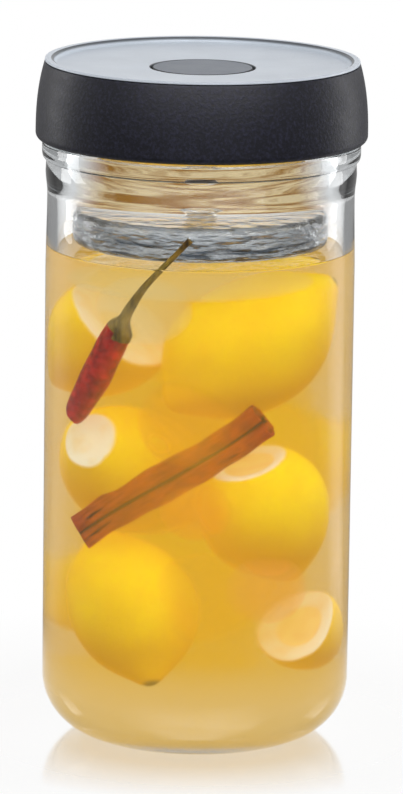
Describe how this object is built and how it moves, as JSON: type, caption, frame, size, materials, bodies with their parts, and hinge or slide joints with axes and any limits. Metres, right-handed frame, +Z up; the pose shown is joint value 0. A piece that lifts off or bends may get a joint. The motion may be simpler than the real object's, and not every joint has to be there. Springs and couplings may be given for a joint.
{
  "type": "fermentation jar",
  "caption": "Tall clear glass jar with a quick-turn screw lid, a press-to-vent valve in a dished top and a loose glass weight that keeps food under its brine.",
  "frame": {"origin": "centre of the base, on the plane that the jar stands on", "axes": "+Z up along the axis of the jar, lid and valve; -Y towards the viewer of the picture, +X to their right"},
  "size_m": [0.1156, 0.1156, 0.2399],
  "materials": {
    "clear_glass": "clear, fire-polished",
    "weight_glass": "clear, pressed",
    "clear_silicone": "translucent, matte",
    "white_plastic": "satin",
    "anthracite_plastic": "fine matte texture",
    "satin_grey_plastic": "satin",
    "nut_plastic": "matte",
    "black_rubber": "matte",
    "plunger_plastic": "satin",
    "seal_silicone": "matte",
    "spring_steel": "drawn wire",
    "dark_plastic": "satin",
    "button_grey": "fine matte texture",
    "membrane_silicone": "translucent, matte"
  },
  "bodies": {
    "jar": {"glass_jar": "clear_glass"},
    "weight": {"glass_weight": "weight_glass"},
    "seal_ring": {"lid_gasket": "clear_silicone"},
    "lid": {"lid_skirt": "anthracite_plastic", "lid_top_plate": "satin_grey_plastic", "lid_liner": "white_plastic", "valve_tube": "dark_plastic", "valve_nut": "nut_plastic", "valve_oring": "black_rubber", "valve_spring": "spring_steel"},
    "button": {"vent_button": "button_grey", "valve_plunger": "plunger_plastic", "valve_seal": "seal_silicone"},
    "membrane": {"vent_membrane": "membrane_silicone"}
  },
  "joints": [
    {"name": "weight_slide", "type": "slide", "parent": "jar", "child": "weight", "axis": [0, 0, 1], "range_m": [-0.1655, 0.0025]},
    {"name": "lid_rise", "type": "slide", "parent": "jar", "child": "seal_ring", "axis": [0, 0, 1], "range_m": [0, 0.024]},
    {"name": "lid_turn", "type": "hinge", "parent": "seal_ring", "child": "lid", "pos_m": [0, 0, 0.2282], "axis": [0, 0, 1], "range_deg": [0, 360]},
    {"name": "button_press", "type": "slide", "parent": "lid", "child": "button", "axis": [0, 0, -1], "range_m": [0, 0.002], "stiffness_N_per_m": 800, "springref_m": -0.002, "deforming": ["valve_spring"]},
    {"name": "membrane_lift", "type": "slide", "parent": "lid", "child": "membrane", "axis": [0, 0, 1], "range_m": [0, 0.0006]}
  ],
  "couplings": [
    {"joint": "lid_rise", "follows": "lid_turn", "m_per_rad": 0.0038197}
  ]
}
